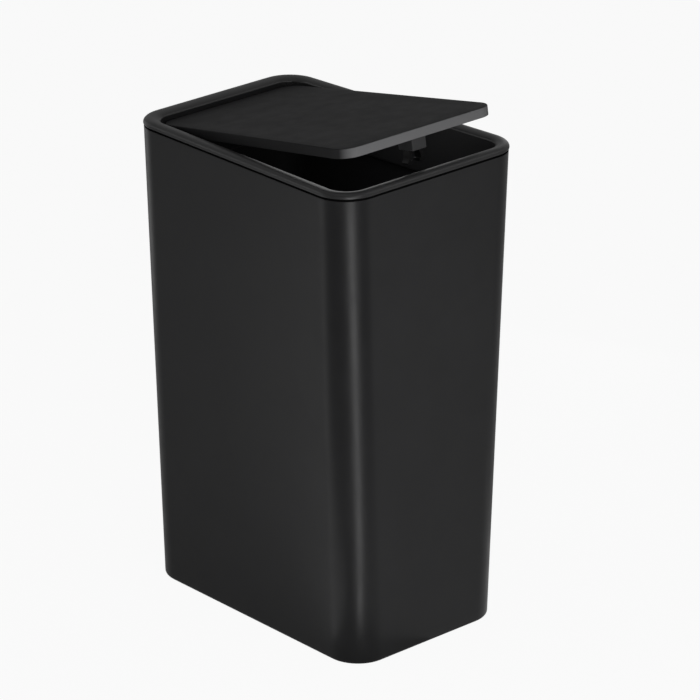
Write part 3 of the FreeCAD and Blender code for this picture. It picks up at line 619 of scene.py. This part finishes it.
def screw_shape(length):
    """Points and faces of a pan-head screw with a cross slot, its head above z 0 and its thread below."""
    sides = 48
    head, head_top = 2.3, 1.4
    thread, root, rise = 1.1, 0.85, 0.3
    slot_reach, slot_half, slot_z = 0.75, 0.17, 0.7
    profile = rounded([
        (0.9, head_top, 0), (1.5, head_top, 0), (head, 0.9, 0.5), (head, 0, 0.12), (thread, 0, 0),
        (thread, -0.4, 0),
    ], 5)
    for step in range(int((length - 1.2) / rise)):
        profile.append(Vector((root if step % 2 else thread, -0.5 - step * rise)))
    profile.append(Vector((0.5, -length)))
    work = bmesh.new()
    angles = [math.tau * i / sides for i in range(sides)]
    rings = []
    for r, z in profile:
        rings.append([work.verts.new((r * math.cos(a), r * math.sin(a), z)) for a in angles])
    slot_top, slot_foot = [], []
    for a in angles:
        near = min(abs(math.cos(a)), abs(math.sin(a)))
        r = min(slot_reach, slot_half / near) if near > 0.2 else 0.8
        slot_top.append(work.verts.new((r * math.cos(a), r * math.sin(a), head_top)))
        slot_foot.append(work.verts.new((r * 0.6 * math.cos(a), r * 0.6 * math.sin(a), slot_z)))
    for low, high in [(slot_foot, slot_top), (slot_top, rings[0])] + list(zip(rings, rings[1:])):
        for i in range(sides):
            j = (i + 1) % sides
            work.faces.new((low[i], low[j], high[j], high[i]))
    work.faces.new(slot_foot)
    work.faces.new(rings[-1])
    work.verts.index_update()
    shape = [v.co.copy() for v in work.verts], [tuple(v.index for v in f.verts) for f in work.faces]
    work.free()
    return shape


def make_screws(node, length, places, axis, body, turn=None):
    """One piece with a screw at each place, its shank pointing along axis and each head turned differently."""
    points, faces = screw_shape(length)
    stand = (-Vector(axis)).to_track_quat("Z", "Y").to_matrix().to_4x4()
    vertices, all_faces = [], []
    for index, place in enumerate(places):
        spin = Matrix.Rotation(0.5 + 0.7 * index, 4, "Z")
        put = Matrix.Translation(Vector(place)) @ stand @ spin
        offset = len(vertices)
        vertices += [put @ p for p in points]
        all_faces += [tuple(i + offset for i in face) for face in faces]
    name = node.replace("screws", "screw_set")
    piece = new_mesh(name, vertices, all_faces, SCREW, body, turn=turn, slot="bright_steel")
    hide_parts(node)


def make_all_screws(striker_z, striker_y):
    inset = 12
    up, forward = (0, 0, 1), (0, -1, 0)
    front, rear = LID_FRONT + inset - BODY_DEPTH / 2, BODY_DEPTH / 2 - LID_REAR - inset
    corners = [(side * half_width(y, LID_SIDE + inset), y, LID_FOOT) for y in (front, rear) for side, _ in SIDES]
    flange = [(side * 9.6, LATCH_Y, LID_FOOT) for side, _ in SIDES]
    plate = [(side * 6.0, striker_y, striker_z) for side, _ in SIDES]
    make_screws("lid_screws", 5.1, corners, up, "lid", TURN_UP)
    make_screws("latch_screws", 5.1, flange, up, "lid", TURN_UP)
    make_screws("striker_screws", 5.9, plate, forward, "rim")


def paint_frame():
    """Materials for the solids that show as they are."""
    paints = {"lid_liner": INNER, "latch_slider": LATCH, "hinge_pin": WIRE, "pin_rings": SCREW, "jaw_pins": WIRE}
    for node, material in paints.items():
        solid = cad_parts[node]
        solid.data.materials.clear()
        solid.data.materials.append(material)


# Floor, light and camera

FLOOR_REACH = 12
FLOOR_LEVEL = 0.5
ROOM_LEVEL = 0.10
# How much of the floor is white to the camera, the rest being left for the shadow, and what a gloss sees of it
PAPER_SHARE = 0.94
GLOSS_SHARE = 0.3

FAR = 1.9
FAR_LAMPS = (  # name, azimuth, elevation, size, power
    ("front_high", -88, 45, (0.8, 0.6), 3.0),
    ("right_high", -28, 42, (0.5, 0.7), 1.8),
    ("front_low", -98, 20, (0.6, 0.5), 1.6),
    ("left", 180, 15, (0.7, 0.5), 0.5),
    ("left_back", 127, 34, (0.7, 0.5), 1.8),
)
PANEL_SIZE = (0.16, 0.5)
PANEL_DISTANCE = 0.5
PANEL_HEIGHT = 0.27
PANELS = (  # name, azimuth, power
    ("panel_left", 157, 0.27),
    ("panel_front", -119, 0.98),
    ("panel_right", -56, 0.12),
    ("panel_back", 100, 0.16),
    ("panel_side", 22, 0.16),
)
# A row of cards that leads away from the near corner and widens as it goes
ROW_START = (-0.0753, -0.1158)
ROW_WAY = (-0.4226, -0.9063)
ROW_AZIMUTH = -115
ROW_POWER = 23.0
ROW_CARDS = (  # word, start, end, width
    ("near", 0.03, 0.12, 0.017),
    ("mid", 0.12, 0.30, 0.050),
    ("far", 0.30, 0.65, 0.07),
)


def seen_rays(tree):
    """How much of the white stage a ray sees: all from the camera and through glass, a share off a gloss."""
    path = tree.nodes.new("ShaderNodeLightPath")
    off_gloss = tree.nodes.new("ShaderNodeMath")
    off_gloss.operation = "MULTIPLY"
    off_gloss.inputs[1].default_value = GLOSS_SHARE
    tree.links.new(path.outputs["Is Glossy Ray"], off_gloss.inputs[0])
    total = off_gloss.outputs["Value"]
    for kind in ("Is Camera Ray", "Is Transmission Ray"):
        either = tree.nodes.new("ShaderNodeMath")
        either.operation = "MAXIMUM"
        tree.links.new(total, either.inputs[0])
        tree.links.new(path.outputs[kind], either.inputs[1])
        total = either.outputs["Value"]
    return total


def make_floor():
    """A grey floor that the camera sees as white paper with a faint shadow."""
    mesh = bpy.data.meshes.new("floor")
    corners = rectangle(-FLOOR_REACH, FLOOR_REACH, -FLOOR_REACH, FLOOR_REACH)
    mesh.from_pydata([(x, y, 0) for x, y in corners], [], [(0, 1, 2, 3)])
    floor = put_in_scene("floor", mesh)
    material, tree, shader = nodes_of("floor")
    shader.inputs["Base Color"].default_value = (FLOOR_LEVEL, FLOOR_LEVEL, FLOOR_LEVEL, 1)
    shader.inputs["Roughness"].default_value = 0.9
    shader.inputs["Specular IOR Level"].default_value = 0.0
    white = add(tree, "ShaderNodeEmission", Color=(1, 1, 1, 1), Strength=1.0)
    both = tree.nodes.new("ShaderNodeMixShader")
    tree.links.new(spread(tree, seen_rays(tree), 0.0, PAPER_SHARE, 0.0, 1.0), both.inputs["Fac"])
    tree.links.new(shader.outputs["BSDF"], both.inputs[1])
    tree.links.new(white.outputs["Emission"], both.inputs[2])
    tree.links.new(both.outputs["Shader"], tree.nodes["Material Output"].inputs["Surface"])
    mesh.materials.append(material)


def make_room():
    """A dim grey world that the camera sees as white."""
    world = bpy.data.worlds.new("studio")
    bpy.context.scene.world = world
    world.use_nodes = True
    tree = world.node_tree
    background = tree.nodes["Background"]
    background.inputs["Color"].default_value = (1, 1, 1, 1)
    tree.links.new(spread(tree, seen_rays(tree), ROOM_LEVEL, 1.0, 0.0, 1.0), background.inputs["Strength"])


def area_light(name, place, target, size, power):
    data = bpy.data.lights.new(name, "AREA")
    data.shape = "RECTANGLE"
    data.size, data.size_y = size
    data.energy = power
    lamp = put_in_scene(name, data)
    lamp.location = place
    lamp.rotation_euler = (Vector(target) - Vector(place)).to_track_quat("-Z", "Y").to_euler()
    lamp.visible_camera = False
    return lamp


def floor_card(name, middle, azimuth, size, power):
    """A bright card that lies on the floor and shows in the bin's upright faces."""
    lamp = area_light(name, (*middle, 0.002), (*middle, 1), size, power)
    lamp.rotation_euler = (math.pi, 0, math.radians(azimuth))


def around(azimuth, elevation, distance, height=0.2):
    """A place round the bin, its azimuth counted from +X towards +Y."""
    turn, lift = math.radians(azimuth), math.radians(elevation)
    flat = distance * math.cos(lift)
    return (flat * math.cos(turn), flat * math.sin(turn), height + distance * math.sin(lift))


def make_lights():
    middle = (0, 0, 0.25)
    area_light("overhead", (0, 0, 2.2), middle, (1.2, 1.2), 1.7)
    for name, azimuth, elevation, size, power in FAR_LAMPS:
        area_light(name, around(azimuth, elevation, FAR), middle, size, power)
    area_light("back", around(45, 0, 1.55), (0, 0, 0.2), (1.8, 0.4), 0.2)
    for name, azimuth, power in PANELS:
        place = around(azimuth, 0, PANEL_DISTANCE, PANEL_HEIGHT)
        area_light(name, place, (0, 0, PANEL_HEIGHT), PANEL_SIZE, power)
    floor_card("card_left", (-0.372, 0.221), 127, (0.80, 0.12), 0.28)
    for word, start, end, width in ROW_CARDS:
        reach, length = (start + end) / 2, end - start
        place = [begin + way * reach for begin, way in zip(ROW_START, ROW_WAY)]
        floor_card(f"card_front_{word}", place, ROW_AZIMUTH, (length, width), ROW_POWER * length * width)
    floor_card("card_right", (0.205, -0.322), -47, (0.60, 0.30), 0.16)
    under_lid = TURN_UP @ Vector((0, -30, LID_FOOT - 3)) * MM
    below = under_lid - Vector((0, math.sin(LID_ANGLE), math.cos(LID_ANGLE)))
    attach(area_light("under_lid", under_lid, below, (0.115, 0.095), 0.034), "lid")


def make_camera():
    """The view of the photo, fitted to the bin's outline."""
    azimuth, elevation, distance = math.radians(-43.1), math.radians(21.9), 3.070
    target = Vector((0, 0, 0.160))
    flat = math.cos(elevation)
    back = Vector((math.sin(azimuth) * flat, -math.cos(azimuth) * flat, math.sin(elevation)))
    data = bpy.data.cameras.new("camera")
    data.sensor_width = 36
    data.lens = 245.9
    data.shift_x = 0.0416
    data.shift_y = 0.0230
    camera = put_in_scene("camera", data)
    camera.location = target + back * distance
    camera.rotation_euler = (-back).to_track_quat("-Z", "Y").to_euler()
    bpy.context.scene.camera = camera


make_bucket()
make_rim()
make_hinge_ears()
make_lid()
make_latch()
make_claws()
make_all_screws(*make_striker())
make_lid_springs()
make_latch_spring()
make_cam_wire()
paint_frame()
make_floor()
make_room()
make_lights()
make_camera()
bpy.context.scene.view_settings.view_transform = "Standard"
